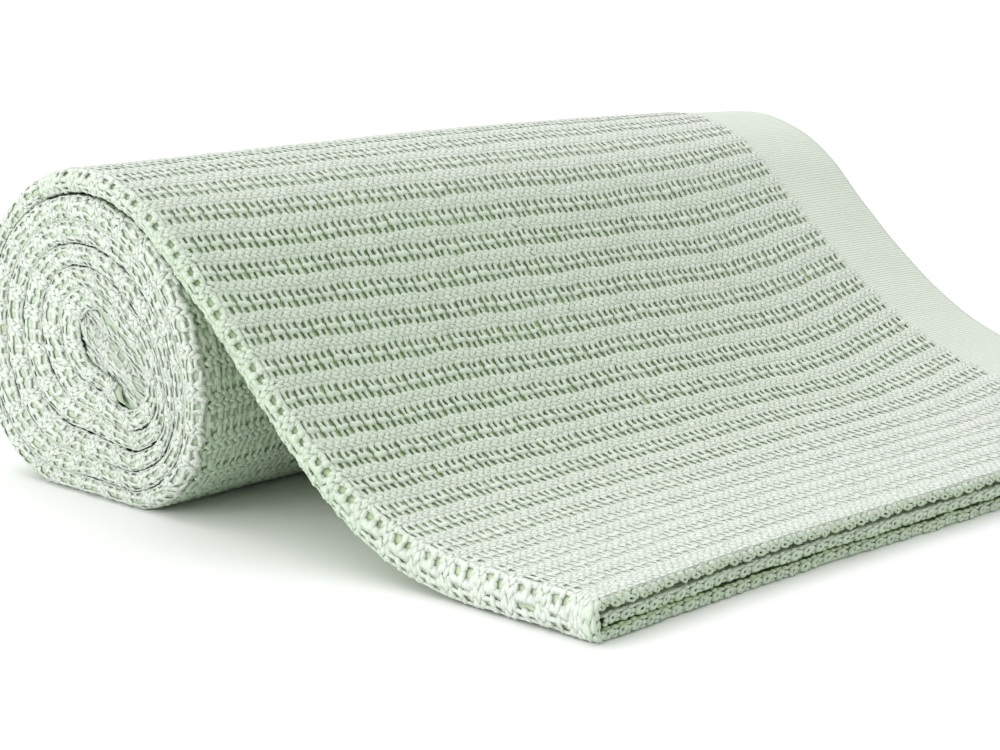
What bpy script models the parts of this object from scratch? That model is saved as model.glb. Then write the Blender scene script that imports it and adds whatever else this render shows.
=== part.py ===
"""Cellular blanket, folded in three across its length, rolled up, with a loose end at the front.

Frame: X runs along the roll, from its folded near end to its bordered far end, -Y is the side of the
loose end, and +Z is up. The blanket lies on z = 0, and the origin is under the middle of its box.
"""
import math
from functools import lru_cache

import bmesh
import bpy
from mathutils import Vector

MM = 0.001

# Driving sizes, in millimetres and degrees
LENGTH = 459.0          # along the roll: a third of the blanket's own width
CLOTH = 3.3             # one layer of cellular cloth, in the roll
UPPER_AIR = 0.9         # air under the loose end's top layer
LOWER_AIR = 0.4         # air between its middle and bottom layers
CLEARANCE = 0.45        # gap between solids that touch, where none of their flat facets is nearer than 0.3
FRONT_STACK = 18.0      # the three layers at the front edge, where nothing presses them
RIB_PITCH = 17.25       # one raised rib and one row of cells
CELL_DEPTH = 0.9        # how far the row of cells lies below the ribs
TURNS = 6               # turns that show as ridges on the roll's ends
RIDGE = 4.0             # how far a folded edge stands out of the roll's end
RIDGE_CREST = (0.28, 0.72)  # where a ridge's crest begins and ends, as parts of the way across it
CORE_CREST = 0.3        # how far in from its rim the fold at the roll's middle is full, as a part of it
CORE_STRETCH = 0.30     # how far the fold at the roll's middle is from round
CORE_TILT = 235.0       # the long way of that fold, in degrees behind the roll's top
BORDER = 55.0           # width of the plain border
BORDER_CLOTH = 1.8      # thickness of the plain border
OVERHANG = 4.0          # how far the border reaches past the fold beneath it
INSIDE_END = 9.0        # how far in from the left fold the middle layer's own edge lies
SAG = 1.06              # how far the sagged oval would reach below the surface, were it not flattened
SAG_POWER = 2.4         # how square that oval is, where 2 is an ellipse
START = 20.0            # how far behind the roll's top the loose end begins, in degrees
STEP_GAP = 0.6          # gap there, between the loose end and the turn that it carries on

PACKED_STACK = 3 * CLOTH + UPPER_AIR + LOWER_AIR
TURN = PACKED_STACK + CLEARANCE
LEFT_FOLD = PACKED_STACK / 2
RIGHT_FOLD = CLOTH + LOWER_AIR / 2

# Sections across the blanket, from the near end (0) to the far end (1). half_width and top are the
# roll's; leave is the angle, forward of the roll's top, at which the loose end parts from it; steep and
# glide are the handles of its slope; land and front are how far forward it meets the surface and ends.
SECTION_COLUMNS = ("across", "half_width", "top", "leave", "steep", "glide", "land", "front")
SECTIONS = (
    (0.00, 90.0, 151.0, 37.5, 95.0, 93.0, 254.0, 316.0),
    (0.25, 83.5, 148.5, 42.0, 81.0, 98.0, 246.0, 311.0),
    (0.50, 79.5, 146.0, 44.0, 73.0, 97.0, 246.0, 312.0),
    (0.72, 80.5, 142.0, 47.0, 72.0, 99.0, 248.0, 312.0),
    (0.88, 88.0, 138.0, 44.0, 78.0, 95.0, 265.0, 307.0),
    (1.00, 92.5, 134.0, 47.5, 94.0, 99.0, 276.0, 302.0),
)

# Where one rib pitch has points, as parts of it, and how deep each lies in the row of cells
RELIEF = ((0.0, CELL_DEPTH), (0.28, 0.0), (0.72, 0.0))

ARC_POINTS = 17         # fine points along the loose end: on the roll, down the slope, on the surface
SLOPE_POINTS = 33
FLAT_POINTS = 7
FOLD_POINTS = 3         # points around each fold, between its two layers
PATH_NUDGE = 0.01       # part of the path over which its direction is taken


def clear_scene():
    for item in list(bpy.data.objects):
        bpy.data.objects.remove(item, do_unlink=True)


# The shape of the cloth

@lru_cache(maxsize=None)
def section(across):
    """The section table's values at a place across the blanket, on a smooth curve through its rows."""
    last = len(SECTIONS) - 1
    low = max(i for i in range(last) if i == 0 or SECTIONS[i][0] <= across)
    span = SECTIONS[low + 1][0] - SECTIONS[low][0]
    t = (across - SECTIONS[low][0]) / span

    def slope(i, column):
        before, after = SECTIONS[max(i - 1, 0)], SECTIONS[min(i + 1, last)]
        return (after[column] - before[column]) / (after[0] - before[0])

    values = {}
    for column, name in enumerate(SECTION_COLUMNS):
        values[name] = ((2 * t ** 3 - 3 * t ** 2 + 1) * SECTIONS[low][column]
                        + (3 * t ** 2 - 2 * t ** 3) * SECTIONS[low + 1][column]
                        + (t ** 3 - 2 * t ** 2 + t) * span * slope(low, column)
                        + (t ** 3 - t ** 2) * span * slope(low + 1, column))
    return values


def wound(across, wind):
    """(y, z) of the wound cloth's outer face, wind degrees on from the loose end's start.

    It spirals in from there, behind the roll's top, down its back, and so round. A negative wind lies
    on the loose end. Below its middle the roll sags to a squarer oval, flat where it rests, and its
    innermost turns follow the oval fold that the winding began with.
    """
    row = section(across)
    middle = row["top"] - row["half_width"]
    angle = math.radians(START + wind)
    radius = row["half_width"] - TURN * (START + wind) / 360.0
    rim = row["half_width"] - TURN * (START + wind % 360.0) / 360.0
    side, up = abs(math.sin(angle)), math.cos(angle)
    if up < 0:
        sagged = ((side / rim) ** SAG_POWER + (-up / (middle * SAG)) ** SAG_POWER) ** (-1 / SAG_POWER)
        radius *= min(sagged, middle / -up) / rim
    inwards = max(wind, 0.0) / (360.0 * TURNS)
    radius *= 1.0 + CORE_STRETCH * inwards ** 2 * math.cos(2 * (angle - math.radians(CORE_TILT)))
    return radius * math.sin(angle), middle + radius * up


@lru_cache(maxsize=None)
def loose_path(across):
    """The loose end's outer face at a place across, from its start to the front: (distance, y, z)."""
    row = section(across)
    first, last = STEP_GAP / row["half_width"], math.radians(START + row["leave"])
    arc = [first + (last - first) * i / (ARC_POINTS - 1) for i in range(ARC_POINTS)]
    points = [wound(across, -math.degrees(angle)) for angle in arc]
    before, leaving = Vector(points[-2]), Vector(points[-1])
    steep = leaving + (leaving - before).normalized() * row["steep"]
    landing = Vector((-row["land"], FRONT_STACK))
    glide = landing + Vector((row["glide"], 0.0))
    for i in range(1, SLOPE_POINTS):
        t = i / (SLOPE_POINTS - 1)
        points.append((1 - t) ** 3 * leaving + 3 * t * (1 - t) ** 2 * steep
                      + 3 * t ** 2 * (1 - t) * glide + t ** 3 * landing)
    for i in range(1, FLAT_POINTS):
        ahead = (row["front"] - row["land"]) * i / (FLAT_POINTS - 1)
        points.append((-row["land"] - ahead, FRONT_STACK))
    path, distance = [(0.0, *points[0])], 0.0
    for before, after in zip(points, points[1:]):
        distance += math.dist(before, after)
        path.append((distance, *after))
    return path


def along(path, part):
    """(y, z) at a part (0 to 1) of the way along a path."""
    distance = path[-1][0] * min(max(part, 0.0), 1.0)
    after = next(i for i in range(1, len(path)) if distance <= path[i][0] or i == len(path) - 1)
    (start, y0, z0), (end, y1, z1) = path[after - 1], path[after]
    t = (distance - start) / (end - start)
    return y0 + (y1 - y0) * t, z0 + (z1 - z0) * t


def loft_scale(part):
    """How the loose end's stack thickens on its way, as it leaves the roll's pressure behind."""
    t = min(max((part - 0.35) / 0.45, 0.0), 1.0)
    return 1.0 + (FRONT_STACK / PACKED_STACK - 1.0) * t * t * (3.0 - 2.0 * t)


def loose_point(x, part, depth):
    """The point x along the roll, a part of the way to the front, depth under the outer face."""
    path = loose_path(x / LENGTH)
    y, z = along(path, part)
    back, ahead = along(path, part - PATH_NUDGE), along(path, part + PATH_NUDGE)
    run = math.dist(back, ahead)
    way_y, way_z = (ahead[0] - back[0]) / run, (ahead[1] - back[1]) / run
    depth *= loft_scale(part)
    return Vector((x, y - way_z * depth, max(z + way_y * depth, 0.0)))


def rib_stations(length):
    """Parts of a length at which it has points for its ribs, each with the depth of the cells there."""
    ribs = round(length / RIB_PITCH)
    return [((rib + place) / ribs, depth) for rib in range(ribs) for place, depth in RELIEF] + [(1.0, 0.0)]


# The solids

def solid(name, verts, faces, material, parts):
    """A closed mesh object in millimetres, with its faces pointing out."""
    mesh = bpy.data.meshes.new(name)
    mesh.from_pydata([vert * MM for vert in verts], [], faces)
    shape = bmesh.new()
    shape.from_mesh(mesh)
    bmesh.ops.recalc_face_normals(shape, faces=shape.faces)
    shape.to_mesh(mesh)
    shape.free()
    mesh.materials.append(material)
    mesh.shade_smooth()
    mesh.set_sharp_from_angle(angle=math.radians(40))
    item = bpy.data.objects.new(name, mesh)
    parts.objects.link(item)
    return item


def ribbon_solid(name, sections, material, parts):
    """A solid of a cloth's cross-sections, each a row of (outer face, inner face) pairs of points."""
    width = len(sections[0])
    verts, faces = [], []
    for pairs in sections:
        verts += [outer for outer, _ in pairs] + [inner for _, inner in reversed(pairs)]
    ring = 2 * width
    for row in range(len(sections) - 1):
        for i in range(ring):
            a, b = row * ring + i, row * ring + (i + 1) % ring
            faces.append((a, b, b + ring, a + ring))
    for start in (0, (len(sections) - 1) * ring):
        for i in range(width - 1):
            faces.append((start + i, start + i + 1, start + ring - 2 - i, start + ring - 1 - i))
    return solid(name, verts, faces, material, parts)


def folded_cloth(part, cell_depth):
    """The loose end's section: top layer, left fold, bottom layer, right fold, middle layer."""
    stations = [row[0] * LENGTH for row in SECTIONS]
    right_middle = LENGTH - OVERHANG - RIGHT_FOLD
    top_edge = LENGTH - BORDER
    between = [x for x in stations if LEFT_FOLD < x < top_edge]
    below = [x for x in stations if LEFT_FOLD < x < right_middle]

    def pair(x, outer, inner):
        return loose_point(x, part, outer), loose_point(x, part, inner)

    def fold(middle_x, middle_depth, outer, inner, turn, side):
        angle = math.pi * turn / (FOLD_POINTS + 1)
        out_x, out_depth = side * math.sin(angle), -side * -math.cos(angle)
        return (loose_point(middle_x + outer * out_x, part, middle_depth + outer * out_depth),
                loose_point(middle_x + inner * out_x, part, middle_depth + inner * out_depth))

    turns = range(1, FOLD_POINTS + 1)
    pairs = [pair(x, cell_depth, CLOTH) for x in [top_edge, *reversed(between), LEFT_FOLD]]
    pairs += [fold(LEFT_FOLD, LEFT_FOLD, LEFT_FOLD - cell_depth, LEFT_FOLD - CLOTH, turn, -1) for turn in turns]
    pairs += [pair(x, PACKED_STACK, PACKED_STACK - CLOTH) for x in [LEFT_FOLD, *below, right_middle]]
    pairs += [fold(right_middle, PACKED_STACK - RIGHT_FOLD, RIGHT_FOLD, LOWER_AIR / 2, turn, 1) for turn in turns]
    pairs += [pair(x, CLOTH + UPPER_AIR, 2 * CLOTH + UPPER_AIR)
              for x in [right_middle, *reversed([x for x in below if x > INSIDE_END]), INSIDE_END]]
    return pairs


def make_loose_end(material, parts):
    length = loose_path(0.5)[-1][0]
    sections = [folded_cloth(part, depth) for part, depth in rib_stations(length)]
    return ribbon_solid("loose_end", sections, material, parts)


def make_end_border(material, parts):
    """The plain border of the loose end's top layer, thinner than the cellular cloth beside it."""
    length = loose_path(0.5)[-1][0]
    outer = (CLOTH - BORDER_CLOTH) / 2
    inner = outer + BORDER_CLOTH
    left = LENGTH - BORDER + CLEARANCE
    places = [left, (left + LENGTH) / 2, LENGTH]
    sections = [[(loose_point(x, part, outer), loose_point(x, part, inner)) for x in places]
                for part, _ in rib_stations(length)[::2] + [(1.0, 0.0)]]
    return ribbon_solid("end_border", sections, material, parts)


def make_roll(material, parts):
    """The wound cloth: ribs round it, a step where the loose end starts, and spiral ridges on its ends."""
    around = rib_stations(math.tau * SECTIONS[2][1])
    turn = len(around) - 1
    winds = [360.0 * (i // turn + around[i % turn][0]) for i in range(turn * TURNS + 1)]
    border_x = LENGTH - BORDER
    places = [RIDGE] + [row[0] * LENGTH for row in SECTIONS[1:-1]] + [border_x + CLEARANCE, LENGTH - RIDGE]
    recess = (CLOTH - BORDER_CLOTH) / 2
    verts, faces = [], []

    def add(x, y, z):
        verts.append(Vector((x, y, max(z, 0.0))))
        return len(verts) - 1

    def rim(x, i):
        y, z = wound(x / LENGTH, winds[i])
        depth = recess if x > border_x else around[i % turn][1]
        if z < 2 * CELL_DEPTH:
            return add(x, y, z)
        middle = section(x / LENGTH)["top"] - section(x / LENGTH)["half_width"]
        shrink = 1.0 - depth / math.hypot(y, z - middle)
        return add(x, y * shrink, middle + (z - middle) * shrink)

    wall = [[rim(x, i) for i in range(turn + 1)] for x in places]
    for near, far in zip(wall, wall[1:]):
        for i in range(turn):
            faces.append((near[i], near[i + 1], far[i + 1], far[i]))
        faces.append((near[turn], near[0], far[0], far[turn]))

    def between(outer, inner, part, x):
        return add(x, *(outer + (inner - outer) * part).yz)

    for rim_row, groove_x, crest_x in ((wall[0], RIDGE, 0.0), (wall[-1], LENGTH - RIDGE, LENGTH)):
        grooves = rim_row + [add(groove_x, *wound(groove_x / LENGTH, wind)) for wind in winds[turn + 1:]]
        sides = [(verts[outer], verts[inner]) for outer, inner in zip(grooves, grooves[turn:])]
        crests = [[between(*side, part, crest_x) for side in sides] for part in RIDGE_CREST]
        strips = [grooves[:len(sides)], *crests, grooves[turn:]]
        for outer, inner in zip(strips, strips[1:]):
            for i in range(len(sides) - 1):
                faces.append((outer[i], outer[i + 1], inner[i + 1], inner[i]))
        faces.append([strip[0] for strip in strips])
        mouth = grooves[turn * (TURNS - 1):] + [strip[-1] for strip in reversed(crests)]
        heart = sum((verts[i] for i in mouth), Vector()) / len(mouth)
        lobe = [between(verts[i], heart, CORE_CREST, crest_x) for i in mouth]
        middle = add(crest_x, heart.y, heart.z)
        for i in range(len(mouth)):
            after = (i + 1) % len(mouth)
            faces.append((mouth[i], mouth[after], lobe[after], lobe[i]))
            faces.append((lobe[i], lobe[after], middle))
    return solid("roll", verts, faces, material, parts)


def finish(name, color, roughness):
    material = bpy.data.materials.new(name)
    material.use_nodes = True
    shader = material.node_tree.nodes["Principled BSDF"]
    shader.inputs["Base Color"].default_value = (*color, 1.0)
    shader.inputs["Roughness"].default_value = roughness
    shader.inputs["Metallic"].default_value = 0.0
    return material


def centre(items):
    """Moves the meshes so that the origin is under the middle of their common box."""
    points = [vert.co for item in items for vert in item.data.vertices]
    middle = Vector([(min(p[i] for p in points) + max(p[i] for p in points)) / 2 for i in (0, 1)] + [0.0])
    for item in items:
        for vert in item.data.vertices:
            vert.co -= middle


def main():
    clear_scene()
    parts = bpy.data.collections.new("cellular_blanket")
    bpy.context.scene.collection.children.link(parts)
    cloth = (0.62, 0.76, 0.60)
    items = [
        make_roll(finish("cellular_cloth_wound", cloth, 0.95), parts),
        make_loose_end(finish("cellular_cloth_loose", cloth, 0.95), parts),
        make_end_border(finish("plain_border", (0.66, 0.76, 0.64), 0.9), parts),
    ]
    centre(items)


main()
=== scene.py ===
# %% [markdown]
# # A cellular blanket, folded in three and rolled, with a loose end
#
# The real blanket is one cotton cloth. Its weave has rows of long narrow cells between raised ribs, and
# one side has a plain woven border. It is folded in three, so that a third of its width shows, and rolled
# up from one end. The last stretch slopes off the roll and lies flat in front.
#
# The frame holds the plain solids. This script dresses them: thin cloth sheets follow the same folds, and
# the weave over them is real geometry, small repeats that are arrayed and then bent onto the cloth.
# Sizes below are in millimetres, and each finished mesh is scaled to metres.

# %% Load the frame
import math

import bmesh
import bpy
import numpy as np
from mathutils import Matrix, Vector


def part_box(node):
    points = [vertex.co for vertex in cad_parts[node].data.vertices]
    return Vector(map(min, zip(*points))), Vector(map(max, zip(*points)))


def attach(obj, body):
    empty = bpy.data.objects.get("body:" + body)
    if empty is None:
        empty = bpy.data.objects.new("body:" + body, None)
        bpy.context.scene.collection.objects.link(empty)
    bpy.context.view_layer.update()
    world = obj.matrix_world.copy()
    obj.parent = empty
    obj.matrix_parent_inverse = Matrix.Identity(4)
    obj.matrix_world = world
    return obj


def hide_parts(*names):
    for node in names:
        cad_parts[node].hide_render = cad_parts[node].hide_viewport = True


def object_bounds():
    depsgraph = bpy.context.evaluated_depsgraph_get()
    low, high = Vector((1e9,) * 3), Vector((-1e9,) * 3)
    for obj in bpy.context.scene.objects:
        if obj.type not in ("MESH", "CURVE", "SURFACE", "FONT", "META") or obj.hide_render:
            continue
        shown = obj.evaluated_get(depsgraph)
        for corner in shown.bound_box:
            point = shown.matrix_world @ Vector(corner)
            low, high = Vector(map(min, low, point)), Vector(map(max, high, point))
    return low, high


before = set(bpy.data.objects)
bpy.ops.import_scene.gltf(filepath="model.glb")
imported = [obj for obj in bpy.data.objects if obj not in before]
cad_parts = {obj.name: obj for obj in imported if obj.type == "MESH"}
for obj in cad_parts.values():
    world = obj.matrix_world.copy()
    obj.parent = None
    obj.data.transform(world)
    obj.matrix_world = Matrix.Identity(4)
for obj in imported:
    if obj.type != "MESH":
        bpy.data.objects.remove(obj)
cad_low, cad_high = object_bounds()
print("frame:", sorted(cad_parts), "box", [round(v * 1000) for v in cad_high - cad_low])

# %% [markdown]
# ## The blanket's sizes
#
# The solids were made from these sizes, so the looks are worked out from the same ones. Only INSIDE_END
# differs: here the middle layer reaches 2.5 mm nearer the left fold. Places across the blanket run from
# the folded near end (0) to the bordered far end (1). At each, the table gives the roll's half width and
# top, and how the loose end leaves the roll, slopes and lands.

# %% Sizes in millimetres and degrees
MM = 0.001
LENGTH = 459.0          # along the roll
CLOTH = 3.3             # one layer of cellular cloth
BORDER_CLOTH = 1.8      # thickness of the plain border
UPPER_AIR = 0.9         # air under the loose end's top layer
LOWER_AIR = 0.4         # air between its middle and bottom layers
FRONT_STACK = 18.0      # the three layers at the front edge
PACKED_STACK = 3 * CLOTH + UPPER_AIR + LOWER_AIR
CLEARANCE = 0.45        # between one turn and the next
TURN = PACKED_STACK + CLEARANCE
TURNS = 6               # turns of the roll, of which the lobes cover the last part
RIB_PITCH = 17.25       # one raised rib and one row of cells
BORDER = 55.0           # width of the plain border
OVERHANG = 4.0          # how far the border reaches past the fold beneath it
INSIDE_END = 6.5        # how far in from the left fold the middle layer's own edge lies
SAG = 1.06              # how far the sagged oval would reach below the surface, were it not flattened
SAG_POWER = 2.4         # how square that oval is, where 2 is an ellipse
CORE_STRETCH = 0.30     # how far the inner turns are from round
CORE_TILT = 235.0       # their long way, in degrees behind the roll's top
START = 20.0            # how far behind the roll's top the loose end begins, in degrees
LEFT_FOLD = PACKED_STACK / 2
RIGHT_FOLD = CLOTH + LOWER_AIR / 2
# Only the looks use these two.
ROUGH_LENGTH = 370.0    # about the loose end's length, for waves and drift along it
ABOVE_FLOOR = 0.05      # the lowest that bent cloth may reach

COLUMNS = ("across", "half_width", "top", "leave", "steep", "glide", "land", "front")
SECTIONS = np.array((
    (0.00, 90.0, 151.0, 37.5, 95.0, 93.0, 254.0, 316.0),
    (0.25, 83.5, 148.5, 42.0, 81.0, 98.0, 246.0, 311.0),
    (0.50, 79.5, 146.0, 44.0, 73.0, 97.0, 246.0, 312.0),
    (0.72, 80.5, 142.0, 47.0, 72.0, 99.0, 248.0, 312.0),
    (0.88, 88.0, 138.0, 44.0, 78.0, 95.0, 265.0, 307.0),
    (1.00, 92.5, 134.0, 47.5, 94.0, 99.0, 276.0, 302.0),
))

# The sizes above measure from the near end and the roll's axis. The frame's origin is elsewhere.
TO_FRAME = np.array((cad_low.x / MM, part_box("loose_end")[0].y / MM + SECTIONS[0][-1], 0.0))

# %% [markdown]
# ## The shape of the cloth
#
# Two curves give every surface: the spiral of the wound cloth, flattened where the roll rests, and the
# path of the loose end, which is an arc on the roll, a Bezier slope and a flat stretch. Both work on
# whole arrays of places, because the weave has hundreds of thousands of points.

# %% Sections across the blanket
def section(across):
    """The table's columns at an array of places, on a smooth curve through its rows."""
    across = np.atleast_1d(np.asarray(across, float))
    knots, last = SECTIONS[:, 0], len(SECTIONS) - 1
    index = np.arange(last + 1)
    before, after = SECTIONS[np.maximum(index - 1, 0)], SECTIONS[np.minimum(index + 1, last)]
    slope = (after - before) / (after[:, :1] - before[:, :1])
    low = np.clip(np.searchsorted(knots, across, side="right") - 1, 0, last - 1)
    span = (knots[low + 1] - knots[low])[:, None]
    t = ((across - knots[low]) / span[:, 0])[:, None]
    values = ((2 * t**3 - 3 * t**2 + 1) * SECTIONS[low] + (3 * t**2 - 2 * t**3) * SECTIONS[low + 1]
              + (t**3 - 2 * t**2 + t) * span * slope[low] + (t**3 - t**2) * span * slope[low + 1])
    return dict(zip(COLUMNS, values.T))


def wound(x, wind):
    """(y, z) of the wound cloth's outer face, wind degrees on from the loose end's start."""
    row = section(x / LENGTH)
    middle = row["top"] - row["half_width"]
    angle = np.radians(START + wind)
    radius = row["half_width"] - TURN * (START + wind) / 360
    rim = row["half_width"] - TURN * (START + wind % 360) / 360
    side, down = np.abs(np.sin(angle)), np.maximum(-np.cos(angle), 1e-6)
    sagged = ((side / rim)**SAG_POWER + (down / (middle * SAG))**SAG_POWER)**(-1 / SAG_POWER)
    radius = np.where(np.cos(angle) < 0, radius * np.minimum(sagged, middle / down) / rim, radius)
    inwards = np.maximum(wind, 0) / (360 * TURNS)
    radius = radius * (1 + CORE_STRETCH * inwards**2 * np.cos(2 * (angle - math.radians(CORE_TILT))))
    return radius * np.sin(angle), middle + radius * np.cos(angle)


# %% The loose end's path, read once on a fine grid
GRID_X = np.linspace(0, LENGTH, 94)
GRID_PART = np.linspace(0, 1, 601)
NUDGE = 6               # grid steps over which the path's direction is taken


def loose_path(x):
    """The loose end's outer face at one place, as evenly spaced points: y, z and its length."""
    row = {name: float(value[0]) for name, value in section(x / LENGTH).items()}
    winds = -np.degrees(np.linspace(0.6 / row["half_width"], math.radians(START + row["leave"]), 40))
    arc = np.stack(wound(np.full(40, x), winds), 1)
    way = (arc[-1] - arc[-2]) / np.linalg.norm(arc[-1] - arc[-2])
    land = np.array((-row["land"], FRONT_STACK))
    t = np.linspace(0, 1, 160)[1:, None]
    slope = ((1 - t)**3 * arc[-1] + 3 * t * (1 - t)**2 * (arc[-1] + way * row["steep"])
             + 3 * t**2 * (1 - t) * (land + (row["glide"], 0)) + t**3 * land)
    flat = land - np.linspace(0, 1, 20)[1:, None] * (row["front"] - row["land"], 0)
    points = np.concatenate((arc, slope, flat))
    distance = np.concatenate(((0,), np.cumsum(np.linalg.norm(np.diff(points, axis=0), axis=1))))
    at = GRID_PART * distance[-1]
    return np.interp(at, distance, points[:, 0]), np.interp(at, distance, points[:, 1]), distance[-1]


paths = [loose_path(x) for x in GRID_X]
PATH = np.stack([np.stack((y, z), 1) for y, z, _ in paths])
PATH_LENGTH = np.array([length for _, _, length in paths])
index = np.arange(len(GRID_PART))
ahead = PATH[:, np.minimum(index + NUDGE, index[-1])] - PATH[:, np.maximum(index - NUDGE, 0)]
WAY = ahead / np.linalg.norm(ahead, axis=2, keepdims=True)
RIBS = round(float(PATH_LENGTH[len(GRID_X) // 2]) / RIB_PITCH)


def between(grid, i, j, s, t):
    """Values between a grid's points: between the first and second of each of i and j, by s and t."""
    return ((1 - s) * (1 - t) * grid[i[0], j[0]] + s * (1 - t) * grid[i[1], j[0]]
            + (1 - s) * t * grid[i[0], j[1]] + s * t * grid[i[1], j[1]])


def read_grid(grid, x, part):
    """A grid of the loose end, read at places along the roll and parts of the way to the front."""
    i = np.clip(x / LENGTH, 0, 1) * (len(GRID_X) - 1)
    j = np.clip(part, 0, 1) * (len(GRID_PART) - 1)
    i0, j0 = np.minimum(i.astype(int), len(GRID_X) - 2), np.minimum(j.astype(int), len(GRID_PART) - 2)
    return between(grid, (i0, i0 + 1), (j0, j0 + 1), (i - i0)[:, None], (j - j0)[:, None])


def step(value, start, end):
    """A soft step from 0 to 1 as a value goes from start to end."""
    t = np.clip((value - start) / (end - start), 0, 1)
    return t * t * (3 - 2 * t)


LOFTING = (0.35, 0.80)  # the parts of the way to the front over which the stack gets thicker


def loft(part):
    """How many times thicker the stack is than on the roll, whose pressure it leaves behind."""
    return 1 + (FRONT_STACK / PACKED_STACK - 1) * step(part, *LOFTING)


def loose_point(x, part, depth, lift=0.0):
    """Places in the loose end: x along the roll, part of the way to the front, depth into the stack.

    Depth grows with the stack's loft. Lift is a true height over that.
    """
    point, way = read_grid(PATH, x, part), read_grid(WAY, x, part)
    over = (part - np.clip(part, 0, 1)) * np.interp(x, GRID_X, PATH_LENGTH)
    point = point + way * over[:, None]
    down = depth * loft(part) - lift
    y, z = point[:, 0] - way[:, 1] * down, point[:, 1] + way[:, 0] * down
    return np.stack((x, y, np.maximum(z, ABOVE_FLOOR)), 1)


# %% [markdown]
# ## The fold
#
# Across the blanket the cloth runs from the border leftwards over the top, round the left fold, back
# along the bottom, round the right fold, and ends in the middle. Unfolded, that is one width of cloth, so
# one function turns a distance along that width into a place in the stack.

# %% A place on the folded cloth
TOP_WIDTH = LENGTH - BORDER - LEFT_FOLD
BOTTOM_WIDTH = LENGTH - OVERHANG - RIGHT_FOLD - LEFT_FOLD
MIDDLE_WIDTH = LENGTH - OVERHANG - RIGHT_FOLD - INSIDE_END


def fold_widths(inset):
    """The five stretches of the cloth's width, at a distance in from its outer face."""
    return (TOP_WIDTH, math.pi * (LEFT_FOLD - inset), BOTTOM_WIDTH, math.pi * (RIGHT_FOLD - inset),
            MIDDLE_WIDTH)


def fold_place(along, inset):
    """x, depth and outward direction (x, depth) at distances along the folded cloth's width."""
    top, left, bottom, right, _ = fold_widths(inset)
    end_1, end_2, end_3, end_4 = np.cumsum((top, left, bottom, right))
    turn_l = math.pi * np.clip((along - end_1) / left, 0, 1)
    turn_r = math.pi * np.clip((along - end_3) / right, 0, 1)
    low = along > end_2
    right_depth = PACKED_STACK - RIGHT_FOLD
    x = LENGTH - BORDER - np.minimum(along, top) - (LEFT_FOLD - inset) * np.sin(turn_l)
    depth = LEFT_FOLD - (LEFT_FOLD - inset) * np.cos(turn_l)
    x2 = LEFT_FOLD + np.clip(along - end_2, 0, bottom) + (RIGHT_FOLD - inset) * np.sin(turn_r)
    x2 = x2 - np.maximum(along - end_4, 0)
    depth2 = right_depth + (RIGHT_FOLD - inset) * np.cos(turn_r)
    out_x = np.where(low, np.sin(turn_r), -np.sin(turn_l))
    out_depth = np.where(low, np.cos(turn_r), -np.cos(turn_l))
    return np.where(low, x2, x), np.where(low, depth2, depth), out_x, out_depth


def waves(across, along, seed, lengths):
    """A smooth uneven field of about -1 to 1, made of a few crossing waves of given lengths in mm."""
    random = np.random.default_rng(seed)
    total = np.zeros_like(across)
    for length in lengths:
        angle, phase = random.uniform(0, math.tau, 2)
        total += np.sin((across * math.cos(angle) + along * math.sin(angle)) * math.tau / length + phase)
    return total / len(lengths)


# How far rows waver, how far the border pulls them up, and how far from it they are pulled
WAVER, PULLED_UP, PULL_REACH = 0.9, 3.5, 90.0


def row_drift(across, part):
    """How far the rows stray along the cloth in mm: they waver, and are pulled up beside the border."""
    within = np.sin(math.pi * np.clip(part, 0, 1))
    beside_border = np.clip((PULL_REACH - across) / PULL_REACH, 0, 1)**1.5 * (across < TOP_WIDTH)
    waver = WAVER * waves(across, part * ROUGH_LENGTH, 61, (67.0, 103.0, 151.0))
    return within * (waver - PULLED_UP * beside_border)


def folded_point(along, part, inset, lift=0.0, firm=0.0):
    """A place on the loose end, lift above the cloth's face that is inset from the outer one.

    firm is 1 for an inset that stays true where the stack is lofted.
    """
    x, depth, out_x, out_depth = fold_place(along, inset)
    part = part + row_drift(along, part) / ROUGH_LENGTH
    kept = firm * inset * (loft(part) - 1)
    return loose_point(x + out_x * lift, part, depth, -out_depth * (lift + kept))


# %% [markdown]
# ## Finishes
#
# Cotton yarn is matt and slightly hairy. Its colour is a pale green. Down in the weave it is painted a
# deeper,
# yellower green, as shade: light reaches there only after it has crossed other yarn. Each finished mesh
# carries what the colours need: how much of that painted shade a point takes, how much paler it is painted
# as light, and its place on the flat cloth as a UV map. The patterns follow the cloth because they read
# those, not the room's axes.

# %% One small class for shader maths, and one for a material
class Value:
    """A shader value. Python's operators on it add Math nodes."""

    def __init__(self, paint, socket):
        self.paint, self.socket = paint, socket

    def math(self, operation, *others):
        return self.paint.add("ShaderNodeMath", {"operation": operation}, (self, *others))[0]

    def __add__(self, other):
        return self.math("ADD", other)

    def __mul__(self, other):
        return self.math("MULTIPLY", other)

    def __rsub__(self, other):
        return self.paint.add("ShaderNodeMath", {"operation": "SUBTRACT"}, (other, self))[0]

    __radd__, __rmul__ = __add__, __mul__


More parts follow.
